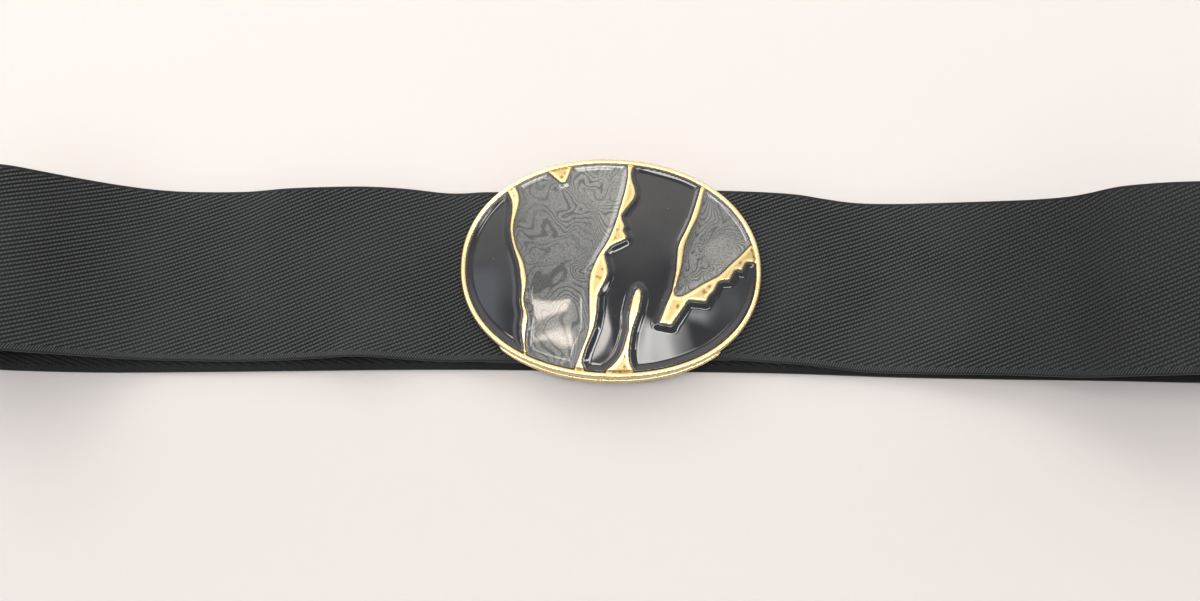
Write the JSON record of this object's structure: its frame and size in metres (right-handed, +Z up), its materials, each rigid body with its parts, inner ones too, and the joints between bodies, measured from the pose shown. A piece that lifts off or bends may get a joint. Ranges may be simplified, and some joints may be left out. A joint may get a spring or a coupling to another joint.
{
  "type": "elastic stretch belt",
  "caption": "Wide black woven elastic belt lying flat as a closed loop, with a domed oval gold buckle whose raised ridges part black and grey enamel cells.",
  "frame": {"origin": "middle of the whole belt's outline on the table, under the buckle", "axes": "+X along the belt to the right as worn and as pictured, +Y across the band to its upper edge, +Z up from the table, out of the buckle's face"},
  "size_m": [0.374, 0.0658, 0.0375],
  "materials": {
    "elastic_band": "black woven elastic with fine slanting ribs",
    "buckle_casting": "polished gold plate",
    "enamel_black_left": "glossy black enamel",
    "enamel_grey_centre": "glossy grey pearl enamel with darker swirls",
    "enamel_black_centre": "glossy black enamel",
    "enamel_grey_right": "glossy grey pearl enamel with darker swirls",
    "clasp_ring": "plain gold-plated wire"
  },
  "bodies": {
    "root": {"elastic_band": "elastic_band", "buckle_casting": "buckle_casting", "enamel_black_left": "enamel_black_left", "enamel_grey_centre": "enamel_grey_centre", "enamel_black_centre": "enamel_black_centre", "enamel_grey_right": "enamel_grey_right", "clasp_ring": "clasp_ring"}
  },
  "joints": []
}
